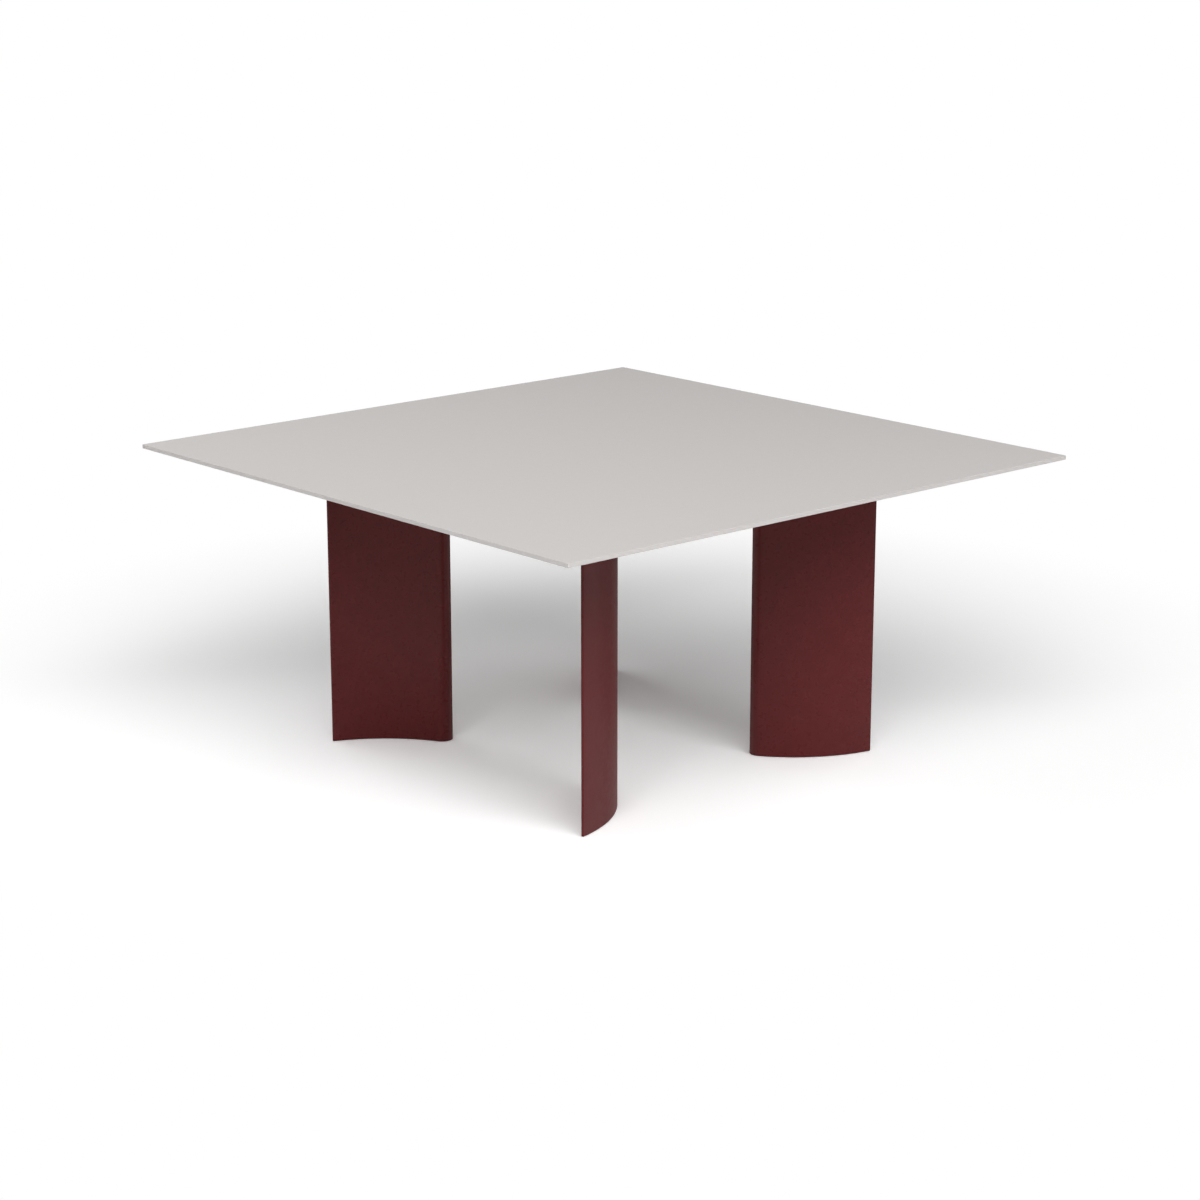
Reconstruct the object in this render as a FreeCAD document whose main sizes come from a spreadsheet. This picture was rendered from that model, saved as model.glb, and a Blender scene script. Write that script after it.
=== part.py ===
import FreeCAD, Part
import math
import os
import Sketcher

# Square dining table: a thin solid-core top on four upright legs of folded sheet steel.
# Each leg is a wing in plan, thick and round at its inner end (the nose), folded thin at its
# corner end (the tail). The legs mirror each other across both middle planes of the table.
# Frame: +Z up, origin on the floor under the middle of the top, X and Y along the top's edges.

doc = FreeCAD.newDocument("SquareDiningTable")

# Driving dimensions, in millimetres and degrees
SIZES = {
    # top panel
    "top_side": 1600,
    "top_thickness": 10,
    "top_corner_radius": 2,
    "top_edge_radius": 1,
    "table_height": 760,
    # leg section, in plan
    "tail_inset": 324,
    "leg_chord": 273.5,
    "leg_angle": 37.6,
    "outer_radius": 372,
    "inner_radius": 382,
    "nose_radius": 26.5,
    "fold_radius": 1.5,
    "leg_wall": 2,
    "foot_reveal": 1.5,
    # mounting plate on top of the leg, base plate inside its lower end
    "plate_thickness": 6,
    "plate_margin": 30,
    "plate_corner_radius": 12,
    "plate_screw_inset": 16,
    "base_thickness": 5,
    "weld_gap": 0.2,
    # rails under the top
    "rail_width": 40,
    "rail_depth": 25,
    "rail_wall": 2.5,
    "rail_bend_radius": 2.5,
    "rail_setback": 50,
    "rail_lap": 100,
    "rail_bolt_end": 20,
    "rail_bolt_pitch": 50,
    # fasteners
    "screw_radius": 3,
    "head_radius": 5.5,
    "head_height": 3.3,
    "hole_clearance": 0.3,
    "thread_clearance": 0.05,
    "bolt_tip_gap": 1,
    "screw_tip_gap": 1,
    "insert_radius": 4.5,
    "insert_clearance": 0.05,
    "insert_cover": 2.5,
    "insert_end_gap": 0.5,
    "spacer_radius": 10,
    # levelling feet
    "pad_radius": 9,
    "pad_height": 5,
    "pad_disc_height": 2.6,
    "pad_spanner_size": 13,
    "pad_floor": 2,
    "pad_rim_chamfer": 1,
    "pad_gap": 2,
    "stud_radius": 4,
    "stud_chamfer": 1,
    "stud_clearance": 0.05,
    "stud_hole_clearance": 0.5,
    "bush_radius": 7,
    "bush_height": 12,
    "foot_travel": 10,
}

sheet = doc.addObject("Spreadsheet::Sheet", "Sizes")
for row, (alias, size) in enumerate(SIZES.items(), start=1):
    sheet.set(f"A{row}", alias)
    sheet.set(f"B{row}", str(size))
    sheet.setAlias(f"B{row}", alias)
doc.recompute()

# Heights that several pieces share
UNDERSIDE = "(Sizes.table_height - Sizes.top_thickness)"
PLATE_BOTTOM = f"({UNDERSIDE} - Sizes.plate_thickness)"
WEB_BOTTOM = f"({PLATE_BOTTOM} - Sizes.rail_wall)"
INSERT_DEPTH = "(Sizes.top_thickness - Sizes.insert_cover)"
INSERT_TOP = f"({UNDERSIDE} + {INSERT_DEPTH} - Sizes.insert_end_gap)"
BASE_BOTTOM = "Sizes.pad_height"
BASE_TOP = f"({BASE_BOTTOM} + Sizes.base_thickness)"
BUSH_TOP = f"({BASE_TOP} + Sizes.bush_height)"

# Places in plan, for the leg that stands in the quadrant of positive X and Y
TAIL = "(Sizes.top_side / 2 - Sizes.tail_inset)"
TAIL_RADIUS = "(Sizes.leg_wall + Sizes.fold_radius)"
NOSE_X = f"({TAIL} - Sizes.leg_chord * cos(Sizes.leg_angle))"
NOSE_Y = f"({TAIL} - Sizes.leg_chord * sin(Sizes.leg_angle))"
PLATE_INNER_X = f"({NOSE_X} - Sizes.nose_radius - Sizes.plate_margin)"
PLATE_INNER_Y = f"({NOSE_Y} - Sizes.nose_radius - Sizes.plate_margin)"
PLATE_OUTER = f"({TAIL} + {TAIL_RADIUS} + Sizes.plate_margin)"
RAIL_LINE = f"({PLATE_OUTER} - Sizes.rail_setback - Sizes.rail_width / 2)"
RAIL_END_X = f"({PLATE_INNER_X} + Sizes.rail_lap)"
RAIL_END_Y = f"({PLATE_INNER_Y} + Sizes.rail_lap)"

# Radii of the holes and of what goes into them
CLEARANCE_HOLE = "(Sizes.screw_radius + Sizes.hole_clearance)"
THREADED_HOLE = "(Sizes.screw_radius + Sizes.thread_clearance)"
INSERT_HOLE = "(Sizes.insert_radius + Sizes.insert_clearance)"
STUD_BORE = "(Sizes.stud_radius + Sizes.stud_clearance)"
STUD_HOLE = "(Sizes.stud_radius + Sizes.stud_hole_clearance)"

# Legs across from each other are alike, half a turn apart; the other two are their mirror images
CORNERS = ("rear_right", "front_left", "front_right", "rear_left")
AS_DRAWN = ("rear_right", "front_left")

UP = FreeCAD.Vector(0, 0, 1)
HALF_TURN_ANGLE = 180
SIXTH_TURN_ANGLE = 60

# A sketch's own numbers for its origin and for the points of an arc or line
ORIGIN = (-1, 1)
START = 1
END = 2
CENTRE = 3

# Two directions whose cosine passes this are the same one; heights nearer than this are level
SAME_WAY = 0.5
LEVEL = 0.001


def value(expression):
    """Present value of an expression, in millimetres."""
    result = sheet.evalExpression(expression)
    return float(getattr(result, "Value", result))


def point(x, y):
    """Plan position of a pair of expressions."""
    return FreeCAD.Vector(value(x), value(y), 0)


def new_body(label):
    return doc.addObject("PartDesign::Body", label)


def origin_plane(body, role):
    return next(part for part in body.Origin.OriginFeatures if part.Role == role)


def plan_sketch(body, name, height):
    """Horizontal sketch of a body, at a bound height."""
    sketch = body.newObject("Sketcher::SketchObject", name)
    sketch.AttachmentSupport = [(origin_plane(body, "XY_Plane"), "")]
    sketch.MapMode = "FlatFace"
    sketch.setExpression("AttachmentOffset.Base.z", height)
    return sketch


def bind(sketch, name, expression, kind, *elements):
    """Add a named dimension to a sketch and bind it to the sizes."""
    index = sketch.addConstraint(Sketcher.Constraint(kind, *elements, value(expression)))
    sketch.renameConstraint(index, name)
    sketch.setExpression(f"Constraints.{name}", expression)


def bind_place(sketch, name, x, y, *vertex):
    """Fix a vertex of a sketch at a plan position."""
    bind(sketch, f"{name}_x", x, "DistanceX", *ORIGIN, *vertex)
    bind(sketch, f"{name}_y", y, "DistanceY", *ORIGIN, *vertex)


def add_circle(sketch, name, x, y, radius):
    circle = sketch.addGeometry(Part.Circle(point(x, y), UP, value(radius)), False)
    bind_place(sketch, name, x, y, circle, CENTRE)
    bind(sketch, f"{name}_radius", radius, "Radius", circle)


def add_polygon(sketch, corners):
    """Closed chain of straight sides from corner to corner."""
    sides = []
    for corner, following in zip(corners, corners[1:] + corners[:1]):
        sides.append(sketch.addGeometry(Part.LineSegment(corner, following), False))
    for side, following in zip(sides, sides[1:] + sides[:1]):
        sketch.addConstraint(Sketcher.Constraint("Coincident", side, END, following, START))
    return sides


def add_rectangle(sketch, x_first, x_last, y_first, y_last):
    """Rectangle between two opposite corners, its sides along X and Y."""
    corners = [(x_first, y_first), (x_last, y_first), (x_last, y_last), (x_first, y_last)]
    sides = add_polygon(sketch, [point(*corner) for corner in corners])
    for side, direction in zip(sides, ("Horizontal", "Vertical") * 2):
        sketch.addConstraint(Sketcher.Constraint(direction, side))
    bind_place(sketch, "first_corner", x_first, y_first, sides[0], START)
    bind_place(sketch, "last_corner", x_last, y_last, sides[2], START)


def meeting_point(first, first_distance, second, second_distance, near):
    """Point at given distances from two others, on the side of their line that lies nearer to near."""
    along = second - first
    reach = (first_distance**2 - second_distance**2 + along.Length**2) / (2 * along.Length)
    rise = math.sqrt(first_distance**2 - reach**2)
    along.normalize()
    across = along.cross(UP)
    if across.dot(near - first) < 0:
        across = -across
    return first + along * reach + across * rise


def bearing(start, finish):
    """Direction from one point to another, in radians."""
    return math.atan2(finish.y - start.y, finish.x - start.x)


def wing_circles(inset):
    """Centres and radii of the four arcs of the leg section, drawn in from its surface by inset."""
    tail = point(TAIL, TAIL)
    nose = point(NOSE_X, NOSE_Y)
    tail_radius = value(f"{TAIL_RADIUS} - {inset}")
    nose_radius = value(f"Sizes.nose_radius - {inset}")
    outer_radius = value(f"Sizes.outer_radius - {inset}")
    inner_radius = value(f"Sizes.inner_radius + {inset}")
    hollow_side = FreeCAD.Vector(tail.x, nose.y, 0)
    outer = meeting_point(nose, outer_radius - nose_radius, tail, outer_radius - tail_radius, hollow_side)
    inner = meeting_point(nose, inner_radius + nose_radius, tail, inner_radius + tail_radius, hollow_side)
    return (outer, outer_radius), (nose, nose_radius), (inner, inner_radius), (tail, tail_radius)


def add_wing(sketch, name, hand, inset):
    """Closed outline of the leg section: bulging face, nose, hollow face and tail, all tangent."""
    circles = wing_circles(inset)
    outer, nose, inner, tail = (centre for centre, radius in circles)
    spans = [
        (bearing(outer, tail), bearing(outer, nose)),
        (bearing(outer, nose), bearing(nose, inner)),
        (bearing(inner, tail), bearing(inner, nose)),
        (bearing(tail, inner), bearing(outer, tail)),
    ]
    arcs = []
    for (centre, radius), (begin, finish) in zip(circles, spans):
        if hand < 0:
            centre = FreeCAD.Vector(centre.x, -centre.y, 0)
            begin, finish = -finish, -begin
        if finish < begin:
            finish += 2 * math.pi
        arc = Part.ArcOfCircle(Part.Circle(centre, UP, radius), begin, finish)
        arcs.append(sketch.addGeometry(arc, False))
    outer_arc, nose_arc, inner_arc, tail_arc = arcs
    first, last = (START, END) if hand > 0 else (END, START)
    joints = (
        (outer_arc, last, nose_arc, first),
        (nose_arc, last, inner_arc, last),
        (inner_arc, first, tail_arc, first),
        (tail_arc, last, outer_arc, first),
    )
    for joint in joints:
        sketch.addConstraint(Sketcher.Constraint("Tangent", *joint))
    bind(sketch, f"{name}_outer_radius", f"Sizes.outer_radius - {inset}", "Radius", outer_arc)
    bind(sketch, f"{name}_nose_radius", f"Sizes.nose_radius - {inset}", "Radius", nose_arc)
    bind(sketch, f"{name}_inner_radius", f"Sizes.inner_radius + {inset}", "Radius", inner_arc)
    bind(sketch, f"{name}_tail_radius", f"{TAIL_RADIUS} - {inset}", "Radius", tail_arc)
    bind_place(sketch, f"{name}_nose", NOSE_X, f"{hand} * {NOSE_Y}", nose_arc, CENTRE)
    bind_place(sketch, f"{name}_tail", TAIL, f"{hand} * {TAIL}", tail_arc, CENTRE)
    return outer_arc, inner_arc


def pad(body, name, sketch, height):
    """Raise a sketch by a bound height."""
    feature = body.newObject("PartDesign::Pad", name)
    feature.Profile = sketch
    feature.setExpression("Length", height)
    doc.recompute()
    return feature


def pocket(body, name, sketch, depth, upwards=False):
    """Cut a sketch down, or up, by a bound depth, and make sure that it met material."""
    before = body.Shape.Volume
    feature = body.newObject("PartDesign::Pocket", name)
    feature.Profile = sketch
    feature.Reversed = upwards
    feature.setExpression("Length", depth)
    doc.recompute()
    if not feature.Shape.Volume < before:
        raise RuntimeError(f"{body.Label}: {name} cuts nothing")
    return feature


def round_edges(body, name, base, edges, radius):
    feature = body.newObject("PartDesign::Fillet", name)
    feature.Base = (base, edges)
    feature.setExpression("Radius", radius)
    doc.recompute()
    return feature


def bevel_edges(body, name, base, edges, size):
    feature = body.newObject("PartDesign::Chamfer", name)
    feature.Base = (base, edges)
    feature.setExpression("Size", size)
    doc.recompute()


def runs_along(edge, direction):
    """Whether an edge starts off along a direction, either way."""
    return abs(edge.tangentAt(edge.FirstParameter).dot(direction)) > SAME_WAY


def edges_where(shape, test):
    """Names of the edges that pass a test."""
    return [f"Edge{number}" for number, edge in enumerate(shape.Edges, start=1) if test(edge)]


def faces_where(shape, test):
    """Names of the faces whose outward direction passes a test."""
    normals = [face.normalAt(*face.ParameterRange[::2]) for face in shape.Faces]
    return [f"Face{number}" for number, normal in enumerate(normals, start=1) if test(normal)]


def mirror_to_quadrants(body, originals):
    """Repeat features across both middle planes of the table."""
    pattern = body.newObject("PartDesign::MultiTransform", "Quadrants")
    pattern.Originals = originals
    mirrors = []
    for role in ("YZ_Plane", "XZ_Plane"):
        mirror = body.newObject("PartDesign::Mirrored", "Mirror")
        mirror.MirrorPlane = (origin_plane(body, role), [""])
        mirrors.append(mirror)
    pattern.Transformations = mirrors
    body.Tip = pattern
    doc.recompute()


def hand_of(corner):
    """1 for a leg whose section is as drawn, -1 for one that mirrors it in Y."""
    return 1 if corner in AS_DRAWN else -1


def is_turned(corner):
    """Whether a leg stands half a turn from where its section is drawn."""
    return corner.endswith("_left")


def turn_half(body):
    """Turn a piece to the other side of the table's axis."""
    body.Placement = FreeCAD.Placement(FreeCAD.Vector(), FreeCAD.Rotation(UP, HALF_TURN_ANGLE))


# Fastener places in one quadrant, as pairs of expressions. The rail screws stand half-way between
# the edge of the mounting plate and the middle of the rail.
plate_near_x = f"{PLATE_INNER_X} + Sizes.plate_screw_inset"
plate_near_y = f"{PLATE_INNER_Y} + Sizes.plate_screw_inset"
plate_far = f"{PLATE_OUTER} - Sizes.plate_screw_inset"
plate_screw_places = [(x, y) for x in (plate_near_x, plate_far) for y in (plate_near_y, plate_far)]
bolt_setbacks = ("Sizes.rail_bolt_end", "(Sizes.rail_bolt_end + Sizes.rail_bolt_pitch)")
cross_rail_bolt_places = [(f"{RAIL_END_X} - {setback}", RAIL_LINE) for setback in bolt_setbacks]
side_rail_bolt_places = [(RAIL_LINE, f"{RAIL_END_Y} - {setback}") for setback in bolt_setbacks]
cross_rail_screw_place = (f"{PLATE_INNER_X} / 2", RAIL_LINE)
side_rail_screw_place = (RAIL_LINE, f"{PLATE_INNER_Y} / 2")
rail_bolt_places = cross_rail_bolt_places + side_rail_bolt_places
rail_screw_places = [cross_rail_screw_place, side_rail_screw_place]


def add_holes(sketch, places, radius, hand=1):
    for number, (x, y) in enumerate(places, start=1):
        add_circle(sketch, f"hole_{number}", x, f"{hand} * ({y})", radius)


def make_top():
    """Square panel with blunted corners, eased edges and blind holes for the inserts below."""
    body = new_body("table_top")
    outline = plan_sketch(body, "Outline", UNDERSIDE)
    half_side = "Sizes.top_side / 2"
    add_rectangle(outline, f"-{half_side}", half_side, f"-{half_side}", half_side)
    panel = pad(body, "Panel", outline, "Sizes.top_thickness")
    upright = edges_where(panel.Shape, lambda edge: runs_along(edge, UP))
    blunted = round_edges(body, "RoundedCorners", panel, upright, "Sizes.top_corner_radius")
    rims = edges_where(blunted.Shape, lambda edge: not runs_along(edge, UP))
    round_edges(body, "EasedEdges", blunted, rims, "Sizes.top_edge_radius")
    holes = plan_sketch(body, "InsertHoles", UNDERSIDE)
    add_holes(holes, plate_screw_places + rail_screw_places, INSERT_HOLE)
    cut = pocket(body, "InsertHole", holes, INSERT_DEPTH, upwards=True)
    mirror_to_quadrants(body, [cut])
    return body


def make_leg_shell(corner):
    """Sheet-steel skin of one leg: the wing section, hollow, from just above the floor to its plate."""
    hand = hand_of(corner)
    body = new_body(f"leg_shell_{corner}")
    section = plan_sketch(body, "Section", "Sizes.foot_reveal")
    add_wing(section, "skin", hand, "0")
    add_wing(section, "hollow", hand, "Sizes.leg_wall")
    pad(body, "Skin", section, f"{PLATE_BOTTOM} - Sizes.foot_reveal")
    return body


def make_mounting_plate(corner):
    """Flange on top of one leg: screw holes outside the skin, threaded holes over the rail ends."""
    hand = hand_of(corner)
    body = new_body(f"mounting_plate_{corner}")
    outline = plan_sketch(body, "Outline", PLATE_BOTTOM)
    add_rectangle(
        outline, PLATE_INNER_X, PLATE_OUTER, f"{hand} * {PLATE_INNER_Y}", f"{hand} * {PLATE_OUTER}"
    )
    flange = pad(body, "Flange", outline, "Sizes.plate_thickness")
    upright = edges_where(flange.Shape, lambda edge: runs_along(edge, UP))
    round_edges(body, "RoundedCorners", flange, upright, "Sizes.plate_corner_radius")
    screw_holes = plan_sketch(body, "ScrewHoles", UNDERSIDE)
    add_holes(screw_holes, plate_screw_places, CLEARANCE_HOLE, hand)
    pocket(body, "ScrewHole", screw_holes, "Sizes.plate_thickness")
    threaded_holes = plan_sketch(body, "ThreadedHoles", UNDERSIDE)
    add_holes(threaded_holes, rail_bolt_places, THREADED_HOLE, hand)
    pocket(body, "ThreadedHole", threaded_holes, "Sizes.plate_thickness")
    return body


def make_base_plate(corner):
    """Plate welded inside the lower end of one leg, with a hole for each foot's stud."""
    hand = hand_of(corner)
    body = new_body(f"base_plate_{corner}")
    outline = plan_sketch(body, "Outline", BASE_BOTTOM)
    add_wing(outline, "edge", hand, "(Sizes.leg_wall + Sizes.weld_gap)")
    add_holes(outline, FEET.values(), STUD_HOLE, hand)
    pad(body, "Plate", outline, "Sizes.base_thickness")
    return body


def make_foot_bushes(corner):
    """Threaded bushes welded on the base plate, one over each stud hole."""
    hand = hand_of(corner)
    body = new_body(f"foot_bushes_{corner}")
    rings = plan_sketch(body, "Rings", BASE_TOP)
    for number, (x, y) in enumerate(FEET.values(), start=1):
        add_circle(rings, f"bush_{number}", x, f"{hand} * ({y})", "Sizes.bush_radius")
        add_circle(rings, f"bore_{number}", x, f"{hand} * ({y})", STUD_BORE)
    pad(body, "Bushes", rings, "Sizes.bush_height")
    return body


def stand_foot_piece(body, corner, x, y):
    """Put a piece of a foot, made about its own axis, where that foot stands."""
    side = -1 if is_turned(corner) else 1
    body.setExpression("Placement.Base.x", f"{side} * ({x})")
    body.setExpression("Placement.Base.y", f"{side * hand_of(corner)} * ({y})")


def own_axis_circle(body, name, height, radius):
    """Sketch of one circle about the body's own axis."""
    sketch = plan_sketch(body, name, height)
    circle = sketch.addGeometry(Part.Circle(FreeCAD.Vector(), UP, value(radius)), False)
    sketch.addConstraint(Sketcher.Constraint("Coincident", circle, CENTRE, *ORIGIN))
    bind(sketch, "radius", radius, "Radius", circle)
    return sketch


def make_foot_stud(label):
    """Threaded stud, long enough to fill its bush at the end of the foot's travel."""
    body = new_body(label)
    section = own_axis_circle(body, "Section", "Sizes.pad_floor", "Sizes.stud_radius")
    rod = pad(body, "Rod", section, f"{BUSH_TOP} + Sizes.foot_travel - Sizes.pad_floor")
    top_height = rod.Shape.BoundBox.ZMax
    tip = edges_where(rod.Shape, lambda edge: edge.BoundBox.ZMin > top_height - LEVEL)
    bevel_edges(body, "Tip", rod, tip, "Sizes.stud_chamfer")
    return body


def own_axis_hexagon(body, name, height, across_flats):
    """Sketch of one regular hexagon about the body's own axis, two of its sides along X."""
    sketch = plan_sketch(body, name, height)
    corner_radius = f"{across_flats} / sqrt(3)"
    circle = sketch.addGeometry(Part.Circle(FreeCAD.Vector(), UP, value(corner_radius)), True)
    sketch.addConstraint(Sketcher.Constraint("Coincident", circle, CENTRE, *ORIGIN))
    bind(sketch, "corner_radius", corner_radius, "Radius", circle)
    to_corner = FreeCAD.Vector(value(corner_radius), 0, 0)
    turns = [FreeCAD.Rotation(UP, number * SIXTH_TURN_ANGLE) for number in range(6)]
    sides = add_polygon(sketch, [turn.multVec(to_corner) for turn in turns])
    for side in sides:
        sketch.addConstraint(Sketcher.Constraint("PointOnObject", side, END, circle))
    for side in sides[1:]:
        sketch.addConstraint(Sketcher.Constraint("Equal", sides[0], side))
    sketch.addConstraint(Sketcher.Constraint("Horizontal", sides[1]))
    return sketch


def make_foot_pad(label):
    """Moulded glide: a disc with a bevelled rim, a hexagon for a spanner, and a socket for the stud."""
    body = new_body(label)
    section = own_axis_circle(body, "Section", "0", "Sizes.pad_radius")
    disc = pad(body, "Disc", section, "Sizes.pad_disc_height")
    lower_rim = edges_where(disc.Shape, lambda edge: edge.BoundBox.ZMax < LEVEL)
    bevel_edges(body, "LowerRim", disc, lower_rim, "Sizes.pad_rim_chamfer")
    hexagon = own_axis_hexagon(body, "Hexagon", "Sizes.pad_disc_height", "Sizes.pad_spanner_size")
    pad(body, "Collar", hexagon, "Sizes.pad_height - Sizes.pad_disc_height")
    socket = own_axis_circle(body, "Socket", "Sizes.pad_height", STUD_BORE)
    pocket(body, "StudSocket", socket, "Sizes.pad_height - Sizes.pad_floor")
    return body


def make_rail(label, runs_along_x, end, bolt_places, screw_place):
    """Folded channel, open below: a bar with rounded shoulders, hollowed through its foot and ends."""
    body = new_body(label)
    near_side = f"{RAIL_LINE} - Sizes.rail_width / 2"
    far_side = f"{RAIL_LINE} + Sizes.rail_width / 2"
    bar_plan = plan_sketch(body, "BarPlan", f"{PLATE_BOTTOM} - Sizes.rail_depth")
    if runs_along_x:
        direction = FreeCAD.Vector(1, 0, 0)
        middle_plane = "YZ_Plane"
        add_rectangle(bar_plan, f"-{end}", end, near_side, far_side)
    else:
        direction = FreeCAD.Vector(0, 1, 0)
        middle_plane = "XZ_Plane"
        add_rectangle(bar_plan, near_side, far_side, f"-{end}", end)
    bar = pad(body, "Bar", bar_plan, "Sizes.rail_depth")
    web_height = bar.Shape.BoundBox.ZMax

    def is_shoulder(edge):
        return runs_along(edge, direction) and edge.BoundBox.ZMin > web_height - LEVEL

    shoulders = edges_where(bar.Shape, is_shoulder)
    outer_bend = "Sizes.rail_wall + Sizes.rail_bend_radius"
    rounded = round_edges(body, "Shoulders", bar, shoulders, outer_bend)
    open_faces = faces_where(
        rounded.Shape, lambda normal: normal.z < -SAME_WAY or abs(normal.dot(direction)) > SAME_WAY
    )
    channel = body.newObject("PartDesign::Thickness", "Channel")
    channel.Base = (rounded, open_faces)
    channel.Reversed = True
    channel.setExpression("Value", "Sizes.rail_wall")
    doc.recompute()
    web_holes = plan_sketch(body, "WebHoles", PLATE_BOTTOM)
    add_holes(web_holes, bolt_places + [screw_place], CLEARANCE_HOLE)
    cut = pocket(body, "WebHole", web_holes, "Sizes.rail_wall")
    other_end = body.newObject("PartDesign::Mirrored", "OtherEnd")
    other_end.Originals = [cut]
    other_end.MirrorPlane = (origin_plane(body, middle_plane), [""])
    body.Tip = other_end
    return body


def make_group(label, places, stages):
    """Like pieces in all four quadrants, each a stack of round stages: bottom, top, radius and bore."""
    body = new_body(label)
    features = []
    for stage, (bottom, top, radius, bore) in enumerate(stages, start=1):
        sketch = plan_sketch(body, f"Stage{stage}", bottom)
        for number, (x, y) in enumerate(places, start=1):
            add_circle(sketch, f"outside_{number}", x, y, radius)
            if bore:
                add_circle(sketch, f"bore_{number}", x, y, bore)
        features.append(pad(body, f"Stage{stage}Pad", sketch, f"{top} - {bottom}"))
    mirror_to_quadrants(body, features)
    return body


def screw_stages(seat, tip):
    """Button head below its seat, and a shank from the seat up to the tip."""
    head = (f"({seat} - Sizes.head_height)", seat, "Sizes.head_radius", None)
    shank = (seat, tip, "Sizes.screw_radius", None)
    return [head, shank]


# Plan of one leg: its section, and the two feet that stand in it. The inner foot is under the
# middle of the nose. The outer foot is as near the tail as its pad has room between the faces.
leg_plan = doc.addObject("Sketcher::SketchObject", "LegPlan")
outer_arc, inner_arc = add_wing(leg_plan, "skin", 1, "0")
FOOT_ROOM = "(Sizes.pad_radius + Sizes.pad_gap + Sizes.leg_wall)"
(outer_centre, outer_size), (nose_centre, _), (inner_centre, inner_size), _ = wing_circles("0")
foot_centre = meeting_point(
    outer_centre, outer_size - value(FOOT_ROOM), inner_centre, inner_size + value(FOOT_ROOM), nose_centre
)
room = leg_plan.addGeometry(Part.Circle(foot_centre, UP, value(FOOT_ROOM)), True)
bind(leg_plan, "foot_room", FOOT_ROOM, "Radius", room)
leg_plan.addConstraint(Sketcher.Constraint("Tangent", room, outer_arc))
leg_plan.addConstraint(Sketcher.Constraint("Tangent", room, inner_arc))
for name, kind, place in (("foot_x", "DistanceX", foot_centre.x), ("foot_y", "DistanceY", foot_centre.y)):
    index = leg_plan.addConstraint(Sketcher.Constraint(kind, *ORIGIN, room, CENTRE, place))
    leg_plan.setDriving(index, False)
    leg_plan.renameConstraint(index, name)
doc.recompute()
FEET = {
    "inner": (NOSE_X, NOSE_Y),
    "outer": ("LegPlan.Constraints.foot_x", "LegPlan.Constraints.foot_y"),
}

pieces = [make_top()]
for corner in CORNERS:
    for make_piece in (make_leg_shell, make_mounting_plate, make_base_plate, make_foot_bushes):
        piece = make_piece(corner)
        if is_turned(corner):
            turn_half(piece)
        pieces.append(piece)
    for foot, (foot_x, foot_y) in FEET.items():
        for make_piece, kind in ((make_foot_stud, "stud"), (make_foot_pad, "pad")):
            piece = make_piece(f"foot_{kind}_{corner}_{foot}")
            stand_foot_piece(piece, corner, foot_x, foot_y)
            pieces.append(piece)
for label in ("rail_rear", "rail_front"):
    pieces.append(make_rail(label, True, RAIL_END_X, cross_rail_bolt_places, cross_rail_screw_place))
for label in ("rail_right", "rail_left"):
    pieces.append(make_rail(label, False, RAIL_END_Y, side_rail_bolt_places, side_rail_screw_place))
for piece in pieces:
    if piece.Label in ("rail_front", "rail_left"):
        turn_half(piece)

screw_tip = f"({INSERT_TOP} - Sizes.screw_tip_gap)"
bolt_tip = f"({UNDERSIDE} - Sizes.bolt_tip_gap)"
insert_stages = [(UNDERSIDE, INSERT_TOP, "Sizes.insert_radius", THREADED_HOLE)]
spacer_stages = [(PLATE_BOTTOM, UNDERSIDE, "Sizes.spacer_radius", CLEARANCE_HOLE)]
pieces.append(make_group("plate_inserts", plate_screw_places, insert_stages))
pieces.append(make_group("rail_inserts", rail_screw_places, insert_stages))
pieces.append(make_group("plate_screws", plate_screw_places, screw_stages(PLATE_BOTTOM, screw_tip)))
pieces.append(make_group("rail_bolts", rail_bolt_places, screw_stages(WEB_BOTTOM, bolt_tip)))
pieces.append(make_group("rail_spacers", rail_screw_places, spacer_stages))
pieces.append(make_group("rail_screws", rail_screw_places, screw_stages(WEB_BOTTOM, screw_tip)))

doc.recompute()
for item in doc.Objects:
    if {"Invalid", "Error"} & set(item.State):
        raise RuntimeError(f"{item.Label} failed to build")
for piece in pieces:
    if piece.Shape.isNull() or not piece.Shape.isValid():
        raise RuntimeError(f"{piece.Label} has no valid shape")

os.makedirs("parts", exist_ok=True)
for piece in pieces:
    piece.Shape.exportStep(f"parts/{piece.Label}.step")
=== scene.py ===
import math

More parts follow.
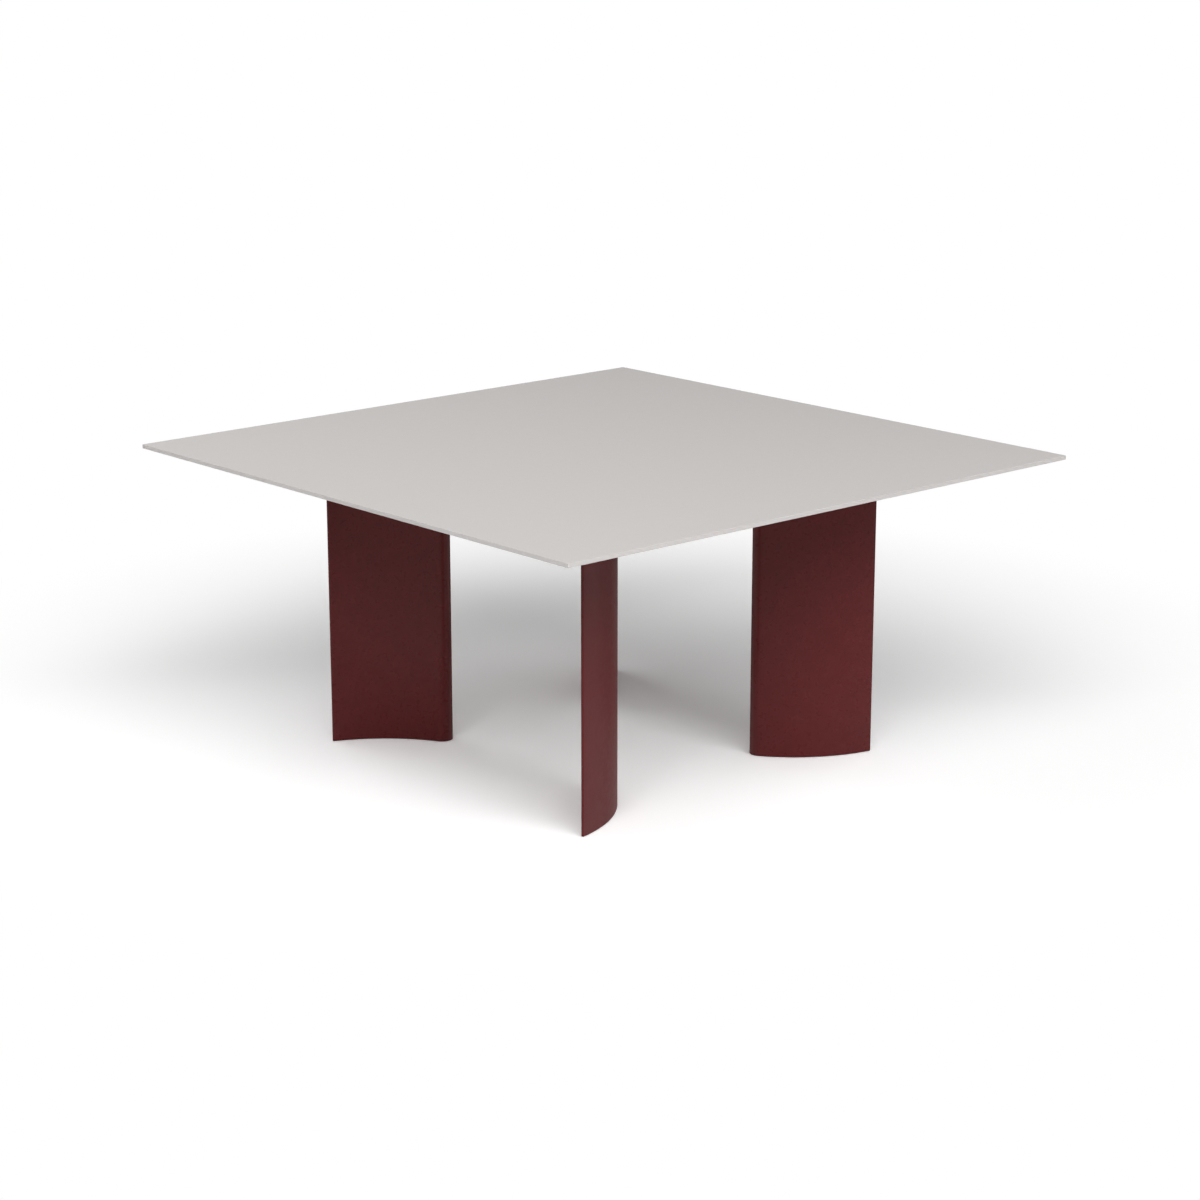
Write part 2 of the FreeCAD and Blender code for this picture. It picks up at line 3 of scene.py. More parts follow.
import bpy
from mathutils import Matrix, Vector


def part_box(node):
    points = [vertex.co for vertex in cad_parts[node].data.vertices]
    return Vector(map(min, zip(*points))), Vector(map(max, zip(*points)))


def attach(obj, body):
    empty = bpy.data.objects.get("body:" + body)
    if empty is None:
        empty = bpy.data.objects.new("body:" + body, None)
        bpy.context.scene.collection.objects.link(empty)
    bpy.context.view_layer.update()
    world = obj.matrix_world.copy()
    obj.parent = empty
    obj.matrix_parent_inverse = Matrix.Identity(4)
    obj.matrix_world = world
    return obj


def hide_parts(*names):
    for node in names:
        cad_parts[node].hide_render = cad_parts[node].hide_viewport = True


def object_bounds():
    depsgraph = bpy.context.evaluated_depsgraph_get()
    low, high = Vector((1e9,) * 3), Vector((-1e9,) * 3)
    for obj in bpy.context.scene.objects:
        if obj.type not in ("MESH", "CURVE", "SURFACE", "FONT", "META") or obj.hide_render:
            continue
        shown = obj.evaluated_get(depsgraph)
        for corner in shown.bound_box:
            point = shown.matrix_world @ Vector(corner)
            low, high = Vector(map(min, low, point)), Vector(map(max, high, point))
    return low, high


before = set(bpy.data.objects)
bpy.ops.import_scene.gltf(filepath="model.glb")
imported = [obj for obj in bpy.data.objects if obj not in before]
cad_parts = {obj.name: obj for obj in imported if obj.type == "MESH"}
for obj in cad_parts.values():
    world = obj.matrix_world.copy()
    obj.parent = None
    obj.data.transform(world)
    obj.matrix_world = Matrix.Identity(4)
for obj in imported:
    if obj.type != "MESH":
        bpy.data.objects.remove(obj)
cad_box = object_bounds()

# Leg skins: each leg is one 2 mm steel sheet, rolled to a bulging and a hollow face, folded tight
# at the thin tail and closed round the thick nose by a weld that is ground flush. It is powder
# coated wine red, stands just clear of the floor and runs up to its mounting plate.
CORNERS = ("front_left", "front_right", "rear_left", "rear_right")
SHEET = 0.002
NOSE_RADIUS = 0.0265
TAIL_RADIUS = 0.0035
BULGE_RADIUS = 0.372
HOLLOW_RADIUS = 0.382
RIM_EASE = 0.0004
RIM_STEPS = 2
ROLLING_SAG = 0.00001
SMOOTH_ANGLE = 30
PATTERN_MIDDLE = (0.3, 0.7)
WINE_RED = (0.098, 0.0125, 0.0129, 1)
DEEP_WINE_RED = (0.092, 0.0117, 0.0121, 1)
COAT_CLOUDS = 0.05
COAT_SPECULAR = 0.15
SATIN = (0.26, 0.32)
SHEEN_CLOUDS = 0.012
EDGE_MATTING = 0.33
ORANGE_PEEL = (0.0016, 0.00001)


def meeting_point(first, first_distance, second, second_distance, near):
    """Plan point at given distances from two others, on the side of their line nearer to near."""
    along = second - first
    reach = (first_distance**2 - second_distance**2 + along.length_squared) / (2 * along.length)
    rise = math.sqrt(first_distance**2 - reach**2)
    along.normalize()
    across = Vector((-along.y, along.x))
    if across.dot(near - first) < 0:
        across.negate()
    return first + along * reach + across * rise


def bearing(start, finish):
    """Direction from one plan point to another, in radians."""
    return math.atan2(finish.y - start.y, finish.x - start.x)


def leg_arcs(corner):
    """The four arcs round a leg's section, from the tail over the bulging face and back.

    Each is its centre, its radius, the bearings where it begins and ends, and the way it turns.
    """
    low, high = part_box(f"leg_shell_{corner}")
    side_x, side_y = math.copysign(1, low.x), math.copysign(1, low.y)
    near_x, far_x = sorted((abs(low.x), abs(high.x)))
    near_y, far_y = sorted((abs(low.y), abs(high.y)))
    nose = Vector((side_x * (near_x + NOSE_RADIUS), side_y * (near_y + NOSE_RADIUS)))
    tail = Vector((side_x * (far_x - TAIL_RADIUS), side_y * (far_y - TAIL_RADIUS)))
    hollow_side = Vector((tail.x, nose.y))
    bulge = meeting_point(
        nose, BULGE_RADIUS - NOSE_RADIUS, tail, BULGE_RADIUS - TAIL_RADIUS, hollow_side
    )
    hollow = meeting_point(
        nose, HOLLOW_RADIUS + NOSE_RADIUS, tail, HOLLOW_RADIUS + TAIL_RADIUS, hollow_side
    )
    turn = side_x * side_y
    return [
        (bulge, BULGE_RADIUS, bearing(bulge, tail), bearing(bulge, nose), turn),
        (nose, NOSE_RADIUS, bearing(bulge, nose), bearing(nose, hollow), turn),
        (hollow, HOLLOW_RADIUS, bearing(hollow, nose), bearing(hollow, tail), -turn),
        (tail, TAIL_RADIUS, bearing(tail, hollow), bearing(bulge, tail), turn),
    ]


def start_vertex(place):
    """A new mesh that is one vertex, left selected in edit mode."""
    bpy.ops.object.select_all(action="DESELECT")
    bpy.ops.mesh.primitive_plane_add(enter_editmode=True)
    bpy.ops.mesh.merge(type="CENTER")
    bpy.ops.transform.translate(value=place)


def extend(step):
    """Extrude what is selected by a step."""
    bpy.ops.mesh.extrude_region_move(TRANSFORM_OT_translate={"value": step})


def sweep_round(arcs):
    """Sweep what is selected along the arcs and close the ring.

    The spin turns clockwise about its axis.
    """
    for centre, radius, begin, finish, turn in arcs:
        angle = (finish - begin) * turn % (2 * math.pi)
        step = 2 * math.acos(1 - ROLLING_SAG / radius)
        bpy.ops.mesh.spin(
            steps=math.ceil(angle / step), angle=angle, center=(*centre, 0), axis=(0, 0, -turn)
        )
    bpy.ops.mesh.select_all(action="SELECT")
    bpy.ops.mesh.remove_doubles(threshold=ROLLING_SAG)
    bpy.ops.mesh.normals_make_consistent(inside=False)


def apply_modifier(kind, **settings):
    """Add a modifier to the active piece, set it and apply it."""
    modifier = bpy.context.object.modifiers.new(kind.title(), kind)
    for setting, choice in settings.items():
        setattr(modifier, setting, choice)
    bpy.ops.object.modifier_apply(modifier=modifier.name)


def finish_piece(name):
    """Name the active piece and smooth the faces that meet at a shallow angle."""
    if bpy.context.mode == "EDIT_MESH":
        bpy.ops.object.mode_set(mode="OBJECT")
    bpy.ops.object.shade_smooth_by_angle(angle=math.radians(SMOOTH_ANGLE))
    piece = bpy.context.object
    piece.name = name
    piece.data.name = name
    return piece


def model_leg_skin(corner):
    """Upright line swept round the leg's section, given the sheet's thickness and eased rims."""
    low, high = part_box(f"leg_shell_{corner}")
    arcs = leg_arcs(corner)
    bulge, radius, begin, _, _ = arcs[0]
    start_vertex((bulge.x + radius * math.cos(begin), bulge.y + radius * math.sin(begin), low.z))
    extend((0, 0, high.z - low.z))
    bpy.ops.mesh.select_all(action="SELECT")
    sweep_round(arcs)
    bpy.ops.object.mode_set(mode="OBJECT")
    apply_modifier("SOLIDIFY", thickness=SHEET, offset=-1, use_even_offset=True)
    apply_modifier("BEVEL", width=RIM_EASE, segments=RIM_STEPS, limit_method="ANGLE")
    return finish_piece(f"leg_skin_{corner}")


def blank_material(name):
    """New material: its node tree, its shader, and the piece's own coordinates."""
    material = bpy.data.materials.new(name)
    material.use_nodes = True
    tree = material.node_tree
    place = tree.nodes.new("ShaderNodeTexCoord").outputs["Object"]
    return material, tree, tree.nodes["Principled BSDF"], place


def noise(tree, place, grain, detail=2):
    """Cloudy pattern, 0 to 1, whose patches are about a grain across."""
    node = tree.nodes.new("ShaderNodeTexNoise")
    node.inputs["Scale"].default_value = 1 / grain
    node.inputs["Detail"].default_value = detail
    tree.links.new(place, node.inputs["Vector"])
    return node.outputs["Fac"]


def spread(tree, pattern, low, high):
    """Stretch the middle of a pattern from low to high."""
    node = tree.nodes.new("ShaderNodeMapRange")
    node.inputs["From Min"].default_value, node.inputs["From Max"].default_value = PATTERN_MIDDLE
    node.inputs["To Min"].default_value = low
    node.inputs["To Max"].default_value = high
    tree.links.new(pattern, node.inputs["Value"])
    return node.outputs["Result"]


def colour(tree, shader, pattern, first, second):
    """Colour the surface from first to second with a pattern."""
    node = tree.nodes.new("ShaderNodeMix")
    node.data_type = "RGBA"
    node.inputs["A"].default_value = first
    node.inputs["B"].default_value = second
    tree.links.new(pattern, node.inputs["Factor"])
    tree.links.new(node.outputs["Result"], shader.inputs["Base Color"])


def emboss(tree, shader, place, relief):
    """Raise a relief of given grain and height over the surface."""
    grain, height = relief
    node = tree.nodes.new("ShaderNodeBump")
    node.inputs["Distance"].default_value = height
    tree.links.new(noise(tree, place, grain), node.inputs["Height"])
    tree.links.new(node.outputs["Normal"], shader.inputs["Normal"])


def powder_coat(name, sheen, relief):
    """Baked powder paint over a relief, slightly uneven in colour and sheen.

    The matting agent in it dulls its reflection where the surface turns away.
    """
    material, tree, shader, place = blank_material(name)
    shader.inputs["Specular IOR Level"].default_value = COAT_SPECULAR
    clouds = spread(tree, noise(tree, place, COAT_CLOUDS), 0, 1)
    colour(tree, shader, clouds, WINE_RED, DEEP_WINE_RED)
    turned_away = tree.nodes.new("ShaderNodeLayerWeight").outputs["Facing"]
    roughness = tree.nodes.new("ShaderNodeMath")
    roughness.operation = "ADD"
    roughness.use_clamp = True
    tree.links.new(spread(tree, noise(tree, place, SHEEN_CLOUDS), *sheen), roughness.inputs[0])
    tree.links.new(spread(tree, turned_away, 0, EDGE_MATTING), roughness.inputs[1])
    tree.links.new(roughness.outputs["Value"], shader.inputs["Roughness"])
    emboss(tree, shader, place, relief)
    return material


def dress(piece, material):
    """Give a piece, new or from the frame, one material all over."""
    if not piece.material_slots:
        piece.data.materials.append(material)
    for slot in piece.material_slots:
        slot.material = material


leg_coating = powder_coat("leg_coating", SATIN, ORANGE_PEEL)
for corner in CORNERS:
    skin = model_leg_skin(corner)
    dress(skin, leg_coating)
    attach(skin, "table")
    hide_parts(f"leg_shell_{corner}")

# Base plates and foot bushes: a 5 mm plate is welded inside the lower end of each leg and coated
# with it. The two turned steel bushes on it are zinc plated and carry the threads of the feet.
ZINC = (0.58, 0.59, 0.61, 1)
DULL_ZINC = (0.50, 0.51, 0.54, 1)
ZINC_CLOUDS = 0.004
ZINC_POLISH = (0.28, 0.42)
POLISH_PATCH = 0.0012
TOOL_MARKS = (0.0003, 0.000002)


def roughen(tree, shader, place, patch, limits):
    """Roughness that wanders between two limits in patches of a given size."""
    tree.links.new(spread(tree, noise(tree, place, patch), *limits), shader.inputs["Roughness"])


def plated_steel(name):
    """Zinc plating on steel: bright, a little cloudy, with fine tool marks."""
    material, tree, shader, place = blank_material(name)
    shader.inputs["Metallic"].default_value = 1
    clouds = spread(tree, noise(tree, place, ZINC_CLOUDS), 0, 1)
    colour(tree, shader, clouds, ZINC, DULL_ZINC)
    roughen(tree, shader, place, POLISH_PATCH, ZINC_POLISH)
    emboss(tree, shader, place, TOOL_MARKS)
    return material


zinc_steel = plated_steel("zinc_steel")
for corner in CORNERS:
    dress(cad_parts[f"base_plate_{corner}"], leg_coating)
    dress(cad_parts[f"foot_bushes_{corner}"], zinc_steel)

# Foot studs: an M8 stud of zinc-plated steel stands in each foot, screwed up through its bush and
# pressed into the pad. Its rolled thread runs the whole length, and its tip is pointed to start it.
FEET = ("inner", "outer")
PITCH = 0.00125
THREAD_DEPTH = 0.0007
THREAD_STEPS = 24
SPARE_TURNS = 2
# Steps up one thread: outwards, level or inwards, and the share of the pitch that each takes
THREAD_FORM = ((0, 1 / 8), (1, 5 / 16), (0, 1 / 8), (-1, 5 / 16), (0, 1 / 8))
TIP_SHARE = 0.8
HAIR = 0.000001


def model_stud(low, high):
    """Threaded rod between two heights about the Z axis: one thread's outline, wound upwards."""
    root = (high.x - low.x) / 2 - THREAD_DEPTH
    start_vertex((root, 0, low.z - PITCH))
    for outwards, rise in THREAD_FORM:
        extend((outwards * THREAD_DEPTH, 0, rise * PITCH))
    bpy.ops.object.mode_set(mode="OBJECT")
    apply_modifier(
        "SCREW",
        screw_offset=PITCH,
        iterations=math.ceil((high.z - low.z) / PITCH) + SPARE_TURNS,
        steps=THREAD_STEPS,
        render_steps=THREAD_STEPS,
    )
    bpy.ops.object.mode_set(mode="EDIT")
    bpy.ops.mesh.select_all(action="SELECT")
    bpy.ops.mesh.remove_doubles(threshold=HAIR)
    bpy.ops.mesh.normals_make_consistent(inside=False)
    for height, upwards in ((low.z, -1), (high.z, 1)):
        bpy.ops.mesh.select_all(action="SELECT")
        bpy.ops.mesh.bisect(
            plane_co=(0, 0, height),
            plane_no=(0, 0, upwards),
            use_fill=True,
            clear_outer=True,
            threshold=HAIR,
        )
    bpy.ops.transform.resize(value=(TIP_SHARE, TIP_SHARE, 1))
    return finish_piece("stud")


def stand_copy(model, name, place):
    """Copy a piece that was modelled about the Z axis, with its own mesh, to a place in plan."""
    bpy.ops.object.select_all(action="DESELECT")
    model.select_set(True)
    bpy.context.view_layer.objects.active = model
    bpy.ops.object.duplicate()
    copy = bpy.context.object
    copy.location = (place.x, place.y, 0)
    bpy.ops.object.transform_apply(location=True, rotation=False, scale=False)
    copy.name = name
    copy.data.name = name
    return copy


def stand_feet(model, kind, node_kind, material):
    """A copy of a model in every foot, riding on that foot in place of its node."""
    dress(model, material)
    for corner in CORNERS:
        for foot in FEET:
            low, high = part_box(f"{node_kind}_{corner}_{foot}")
            piece = stand_copy(model, f"{kind}_{corner}_{foot}", (low + high) / 2)
            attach(piece, f"foot_{corner}_{foot}")
            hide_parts(f"{node_kind}_{corner}_{foot}")
    bpy.data.objects.remove(model)


stud_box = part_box(f"foot_stud_{CORNERS[0]}_{FEET[0]}")
stand_feet(model_stud(*stud_box), "threaded_stud", "foot_stud", zinc_steel)

# Foot pads: moulded glides of hard black plastic, round where they meet the floor, with a hexagon
# above for a spanner and a socket that grips the stud.
PAD_SIDES = 48
PAD_DISC = (
    (0.0078, 0), (0.0086, 0.0002), (0.0090, 0.0008),
    (0.0090, 0.0020), (0.0087, 0.0024), (0.0080, 0.0026),
)
HEXAGON = 6
SPANNER_CORNER = 0.0075
SPANNER_EASE = 0.0003
SOCKET_RADIUS = 0.00405
SOCKET_FLOOR = 0.002
SOCKET_SIDES = 32
MOULDED_BLACK = (0.030, 0.030, 0.032, 1)
WORN_BLACK = (0.040, 0.040, 0.042, 1)
WEAR_PATCH = 0.006
PLASTIC_DULLNESS = (0.50, 0.62)
DULL_PATCH = 0.003
MOULD_GRAIN = (0.0004, 0.000012)


def turn_rings(rings, sides):
    """Solid about the Z axis through rings of given radius and height, closed at both ends."""
    bpy.ops.object.select_all(action="DESELECT")
    (radius, height), *others = rings
    bpy.ops.mesh.primitive_circle_add(
        vertices=sides, radius=radius, fill_type="NGON", enter_editmode=True
    )
    bpy.ops.transform.translate(value=(0, 0, height))
    for next_radius, next_height in others:
        extend((0, 0, next_height - height))
        bpy.ops.transform.resize(value=(next_radius / radius, next_radius / radius, 1))
        radius, height = next_radius, next_height
    bpy.ops.mesh.select_all(action="SELECT")
    bpy.ops.mesh.normals_make_consistent(inside=False)
    bpy.ops.object.mode_set(mode="OBJECT")
    return bpy.context.object


def combine(piece, tool, operation):
    """Join a tool to a piece, or cut it away, and put the tool aside."""
    bpy.ops.object.select_all(action="DESELECT")
    piece.select_set(True)
    bpy.context.view_layer.objects.active = piece
    apply_modifier("BOOLEAN", object=tool, operation=operation, solver="EXACT")
    bpy.data.objects.remove(tool)


def model_pad(height):
    """Glide about the Z axis: its disc, the hexagon on that, and the socket for the stud."""
    pad = turn_rings(PAD_DISC, PAD_SIDES)
    collar_rings = (
        (SPANNER_CORNER, PAD_DISC[-2][1] - SPANNER_EASE),
        (SPANNER_CORNER, height - SPANNER_EASE),
        (SPANNER_CORNER - SPANNER_EASE, height),
    )
    combine(pad, turn_rings(collar_rings, HEXAGON), "UNION")
    socket_rings = ((SOCKET_RADIUS, SOCKET_FLOOR), (SOCKET_RADIUS, height + SPANNER_EASE))
    combine(pad, turn_rings(socket_rings, SOCKET_SIDES), "DIFFERENCE")
    return finish_piece("pad")


def moulded_plastic(name):
    """Hard black plastic from an etched mould: even, dull, with a fine grain."""
    material, tree, shader, place = blank_material(name)
    worn = spread(tree, noise(tree, place, WEAR_PATCH, detail=4), 0, 1)
    colour(tree, shader, worn, MOULDED_BLACK, WORN_BLACK)
    roughen(tree, shader, place, DULL_PATCH, PLASTIC_DULLNESS)
    emboss(tree, shader, place, MOULD_GRAIN)
    return material


foot_plastic = moulded_plastic("foot_plastic")
pad_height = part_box(f"foot_pad_{CORNERS[0]}_{FEET[0]}")[1].z
stand_feet(model_pad(pad_height), "glide", "foot_pad", foot_plastic)

# Mounting plates: a 6 mm steel plate is welded on top of each leg and coated with it. The bead of
# the weld runs all round the skin, under the plate.
BEAD_LEG = 0.0035
BEAD_SINK = 0.0003
BEAD_BELLY = 0.42
BEAD_LUMPS = (0.004, 0.0004)


def model_weld(corner):
    """Fillet bead: a small three-cornered section with a hollow face, swept round the leg."""
    arcs = leg_arcs(corner)
    bulge, radius, begin, _, _ = arcs[0]
    outwards = Vector((math.cos(begin), math.sin(begin), 0))
    up = Vector((0, 0, 1))
    leg_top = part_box(f"leg_shell_{corner}")[1].z
    root = Vector((*bulge, leg_top)) + outwards * (radius - BEAD_SINK)
    belly = BEAD_LEG * BEAD_BELLY
    stations = ((0, 0), (0, -BEAD_LEG), (BEAD_SINK, -BEAD_LEG), (belly, -belly), (BEAD_LEG, 0))
    places = [root + outwards * out + up * rise for out, rise in stations]
    start_vertex(places[0])
    for place, following in zip(places, places[1:]):
        extend(following - place)
    bpy.ops.mesh.select_all(action="SELECT")
    bpy.ops.mesh.edge_face_add()
    bpy.ops.mesh.delete(type="ONLY_FACE")
    bpy.ops.mesh.select_all(action="SELECT")
    sweep_round(arcs)
    return finish_piece(f"leg_weld_{corner}")


weld_coating = powder_coat("weld_coating", SATIN, BEAD_LUMPS)
for corner in CORNERS:
    dress(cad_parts[f"mounting_plate_{corner}"], leg_coating)
    weld = model_weld(corner)
    dress(weld, weld_coating)
    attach(weld, "table")

# Rails: four channels folded from 2.5 mm steel, open below, tie the mounting plates together and
# hold the thin top flat. They are coated in the legs' red, without their sheen.
RAILS = ("rail_front", "rail_rear", "rail_left", "rail_right")
DULL = (0.74, 0.82)
rail_coating = powder_coat("rail_coating", DULL, ORANGE_PEEL)
for rail in RAILS:
    dress(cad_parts[rail], rail_coating)

# Inserts and spacers: threaded brass inserts sit in blind holes under the top, and a black plastic
# ring fills the gap between top and rail round each rail screw.
BRASS = (0.72, 0.55, 0.26, 1)
DARK_BRASS = (0.58, 0.42, 0.18, 1)
TARNISH_PATCH = 0.003
BRASS_POLISH = (0.25, 0.40)
BRASS_PATCH = 0.001


def turned_brass(name):
    """Brass bar stock, turned: bright with a slight tarnish."""
    material, tree, shader, place = blank_material(name)
    shader.inputs["Metallic"].default_value = 1
    tarnish = spread(tree, noise(tree, place, TARNISH_PATCH, detail=4), 0, 1)
    colour(tree, shader, tarnish, BRASS, DARK_BRASS)
    roughen(tree, shader, place, BRASS_PATCH, BRASS_POLISH)
    emboss(tree, shader, place, TOOL_MARKS)
    return material


insert_brass = turned_brass("insert_brass")
for group in ("plate_inserts", "rail_inserts"):
    dress(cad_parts[group], insert_brass)
dress(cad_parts["rail_spacers"], foot_plastic)

# Screws and bolts: M6 button heads with a hexagon socket, zinc plated. Four go through each
# mounting plate into the top, two bolt each end of a rail to its plate, and two go through each
# rail and its spacers into the top.
SCREW_RADIUS = 0.003
SCREW_SIDES = 32
SCREW_POINT = 0.0006
HEAD_RINGS = (
    (0.0028, -0.0033), (0.0036, -0.0031), (0.0044, -0.0026), (0.0050, -0.0019),
    (0.0054, -0.0010), (0.0055, -0.0004), (0.0053, 0), (0.0030, 0),
)
KEY_CORNER = 0.0023
KEY_DEPTH = 0.0019
PLATE_SCREW_INSET = 0.016
RAIL_LAP = 0.1
RAIL_BOLT_SETBACKS = (0.02, 0.07)


def model_screw(seat, tip):
    """Screw with its head below the seat and its shank up to the tip."""
    rings = [(radius, seat + height) for radius, height in HEAD_RINGS]
    rings.append((SCREW_RADIUS, tip - SCREW_POINT))
    rings.append((SCREW_RADIUS - SCREW_POINT, tip))
    screw = turn_rings(rings, SCREW_SIDES)
    face = rings[0][1]
    key_rings = ((KEY_CORNER, face - KEY_DEPTH), (KEY_CORNER, face + KEY_DEPTH))
    combine(screw, turn_rings(key_rings, HEXAGON), "DIFFERENCE")
    return finish_piece("screw")


def plate_places():
    """Plan points near the four corners of every mounting plate."""
    for corner in CORNERS:
        low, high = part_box(f"mounting_plate_{corner}")
        for x in (low.x + PLATE_SCREW_INSET, high.x - PLATE_SCREW_INSET):
            for y in (low.y + PLATE_SCREW_INSET, high.y - PLATE_SCREW_INSET):
                yield Vector((x, y))


def rail_places(rail, setbacks):
    """Plan points on a rail's middle line, set back from both its ends."""
    low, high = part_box(rail)
    along = max((0, 1), key=lambda axis: high[axis] - low[axis])
    for setback in setbacks:
        for end in (low[along] + setback, high[along] - setback):
            place = ((low + high) / 2).to_2d()
            place[along] = end
            yield place


def screw_setback(rail):
    """From a rail's end to its screw, half-way between the mounting plate and the rail's middle."""
    low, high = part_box(rail)
    half_length = max(high.x - low.x, high.y - low.y) / 2
    return (half_length + RAIL_LAP) / 2


def plant_set(model, node, places):
    """Copies of a screw at all its places, joined as one piece in place of the node."""
    copies = [stand_copy(model, node, place) for place in places]
    for copy in copies:
        copy.select_set(True)
    bpy.ops.object.join()
    screws = bpy.context.object
    screws.name = f"{node}_set"
    screws.data.name = screws.name
    dress(screws, zinc_steel)
    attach(screws, "table")
    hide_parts(node)
    bpy.data.objects.remove(model)


def model_like(node, seat):
    """Screw that reaches as high as a node's, with its head under a given seat."""
    return model_screw(seat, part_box(node)[1].z)


plate_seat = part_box(f"mounting_plate_{CORNERS[0]}")[0].z
head_height = -HEAD_RINGS[0][1]
web_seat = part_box("rail_bolts")[0].z + head_height
bolt_places = [place for rail in RAILS for place in rail_places(rail, RAIL_BOLT_SETBACKS)]
screw_places = [place for rail in RAILS for place in rail_places(rail, [screw_setback(rail)])]
plant_set(model_like("plate_screws", plate_seat), "plate_screws", list(plate_places()))
plant_set(model_like("rail_bolts", web_seat), "rail_bolts", bolt_places)
plant_set(model_like("rail_screws", web_seat), "rail_screws", screw_places)

# Table top: one sheet of solid-core laminate, 10 mm thick and coloured through, pressed with a matt
# finish on both faces. It is milled square, with its corners blunted and its edges just eased.
PALE_GREY = (0.523, 0.500, 0.490, 1)
GREY_FLECK = (0.503, 0.480, 0.470, 1)
FLECK_SIZE = 0.0025
TOP_SPECULAR = 0.15
MATT = (0.66, 0.74)
PRESS_CLOUDS = 0.02
PEBBLES = (0.0008, 0.000008)


def matt_laminate(name):
    """Pressed laminate: an even colour with faint fine flecks and a pebbled matt skin."""
    material, tree, shader, place = blank_material(name)
    shader.inputs["Specular IOR Level"].default_value = TOP_SPECULAR
    flecks = spread(tree, noise(tree, place, FLECK_SIZE, detail=3), 0, 1)
    colour(tree, shader, flecks, PALE_GREY, GREY_FLECK)
    roughen(tree, shader, place, PRESS_CLOUDS, MATT)
    emboss(tree, shader, place, PEBBLES)
    return material


dress(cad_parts["table_top"], matt_laminate("top_laminate"))

# Studio: a white floor that runs out of sight, and soft boxes round the table. The widest hangs
# in front, above the viewer, and the others only lighten its shadow. Far from the table the floor
# shows plain white.
PLAIN_WHITE = (1, 1, 1, 1)
FULL_STRENGTH = 1
FLOOR_SIZE = 120
FLOOR_WHITE = (0.98, 0.98, 0.98, 1)
FLOOR_LIFT = 0.1
SHADOW_REACH = (1.1, 2.1)
SHADOW_LEAN = 0.6
VIEW_AZIMUTH = -41.67
SOFT_BOXES = {
    "front_light": {"turn": 11, "elevation": 44, "distance": 9, "size": (12, 5), "power": 1092},
    "right_light": {"turn": 90, "elevation": 30, "distance": 9, "size": (5, 5), "power": 56},
    "rear_right_light": {"turn": 135, "elevation": 30, "distance": 9, "size": (5, 5), "power": 64},
    "rear_left_light": {"turn": 225, "elevation": 30, "distance": 9, "size": (5, 5), "power": 150},
    "left_light": {"turn": 270, "elevation": 50, "distance": 4, "size": (2.5, 2.5), "power": 34},
}
middle = (cad_box[0] + cad_box[1]) / 2


def seen_directly(tree):
    """1 for what the camera, a reflection or a clear surface shows, 0 for light on a surface."""
    path = tree.nodes.new("ShaderNodeLightPath")
    total = path.outputs["Is Camera Ray"]
    for ray in ("Is Glossy Ray", "Is Transmission Ray"):
        either = tree.nodes.new("ShaderNodeMath")
        either.operation = "MAXIMUM"
        tree.links.new(total, either.inputs[0])
        tree.links.new(path.outputs[ray], either.inputs[1])
        total = either.outputs["Value"]
    return total


def glow(tree, strength):
    """White light of a given strength."""
    node = tree.nodes.new("ShaderNodeEmission")
    node.inputs["Strength"].default_value = strength
    return node.outputs["Emission"]


def blend(tree, share, first, second):
    """Surface that goes from first to second with a share."""
    node = tree.nodes.new("ShaderNodeMixShader")
    tree.links.new(share, node.inputs["Fac"])
    tree.links.new(first, node.inputs[1])
    tree.links.new(second, node.inputs[2])
    return node.outputs["Shader"]


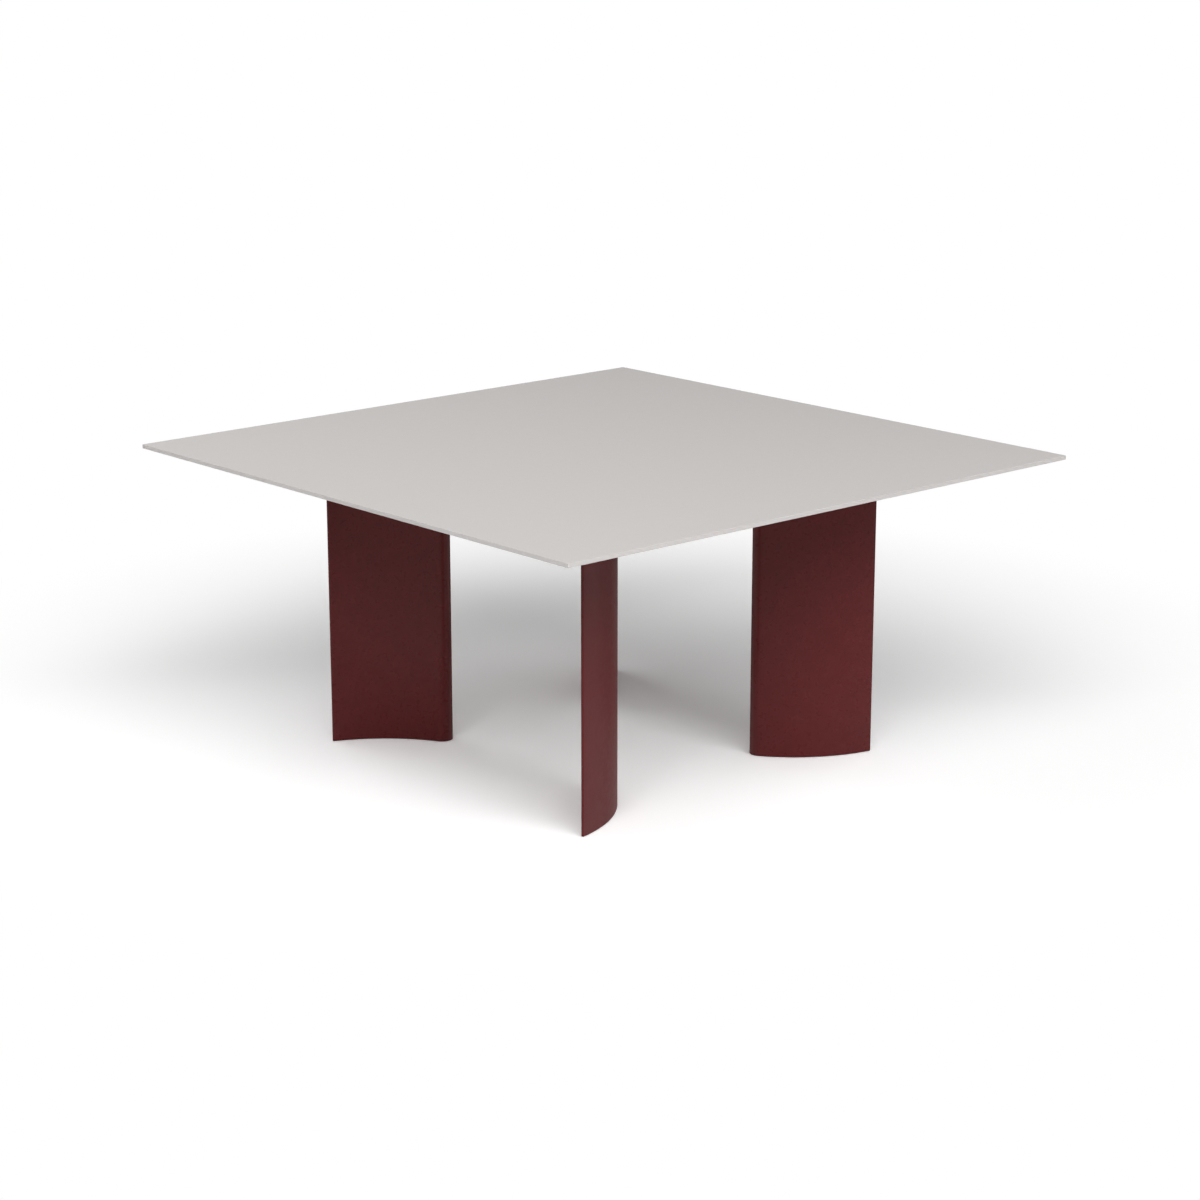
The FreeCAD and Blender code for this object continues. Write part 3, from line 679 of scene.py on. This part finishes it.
def white_floor(name):
    """Matt white that shows the table's shadow, lifted a little, and plain white further out."""
    material, tree, shader, place = blank_material(name)
    matt = shader.outputs["BSDF"]
    shader.inputs["Base Color"].default_value = FLOOR_WHITE
    shader.inputs["Roughness"].default_value = 1
    shader.inputs["Specular IOR Level"].default_value = 0
    away = tree.nodes.new("ShaderNodeVectorMath")
    away.operation = "LENGTH"
    tree.links.new(place, away.inputs[0])
    fade = tree.nodes.new("ShaderNodeMapRange")
    fade.interpolation_type = "SMOOTHSTEP"
    fade.inputs["From Min"].default_value, fade.inputs["From Max"].default_value = SHADOW_REACH
    tree.links.new(away.outputs["Value"], fade.inputs["Value"])
    lifted = tree.nodes.new("ShaderNodeAddShader")
    tree.links.new(matt, lifted.inputs[0])
    tree.links.new(glow(tree, FLOOR_LIFT), lifted.inputs[1])
    white = glow(tree, FULL_STRENGTH)
    shown = blend(tree, fade.outputs["Result"], lifted.outputs["Shader"], white)
    surface = blend(tree, seen_directly(tree), matt, shown)
    tree.links.new(surface, tree.nodes["Material Output"].inputs["Surface"])
    return material


def white_surroundings():
    """White to the camera and in reflections, and no light of its own."""
    world = bpy.data.worlds.new("surroundings")
    world.use_nodes = True
    tree = world.node_tree
    tree.nodes["Background"].inputs["Color"].default_value = PLAIN_WHITE
    tree.links.new(seen_directly(tree), tree.nodes["Background"].inputs["Strength"])
    return world


def outward(azimuth, elevation):
    """Direction from the table, as an azimuth round from the front and a height above the floor."""
    turn, rise = math.radians(azimuth), math.radians(elevation)
    level = math.cos(rise)
    return Vector((math.sin(turn) * level, -math.cos(turn) * level, math.sin(rise)))


def facing(direction):
    """Rotation that looks back along a direction."""
    return (-direction).to_track_quat("-Z", "Y").to_euler()


def hang_light(name, turn, elevation, distance, size, power):
    """Soft box that no picture shows, aimed at the table from a turn round from the viewer."""
    direction = outward(VIEW_AZIMUTH + turn, elevation)
    place = middle + direction * distance
    bpy.ops.object.light_add(type="AREA", location=place, rotation=facing(direction))
    light = bpy.context.object
    light.name = name
    light.visible_camera = False
    light.data.shape = "RECTANGLE"
    light.data.size, light.data.size_y = size
    light.data.energy = power


bpy.ops.object.select_all(action="DESELECT")
bpy.ops.mesh.primitive_plane_add(size=FLOOR_SIZE, location=-outward(VIEW_AZIMUTH, 0) * SHADOW_LEAN)
floor = bpy.context.object
floor.name = "floor"
dress(floor, white_floor("floor_white"))
bpy.context.scene.world = white_surroundings()
for name, settings in SOFT_BOXES.items():
    hang_light(name, **settings)
bpy.context.scene.view_settings.view_transform = "Standard"

# Camera: at the photograph's viewing angle, a little above the table top, aimed at the middle of
# the table through a long lens.
VIEW_ELEVATION = 15
VIEW_DISTANCE = 7.019
LENS = 84.94
SENSOR_WIDTH = 36
view_direction = outward(VIEW_AZIMUTH, VIEW_ELEVATION)
view_point = middle + view_direction * VIEW_DISTANCE
bpy.ops.object.camera_add(location=view_point, rotation=facing(view_direction))
camera = bpy.context.object
camera.data.lens = LENS
camera.data.sensor_width = SENSOR_WIDTH
bpy.context.scene.camera = camera
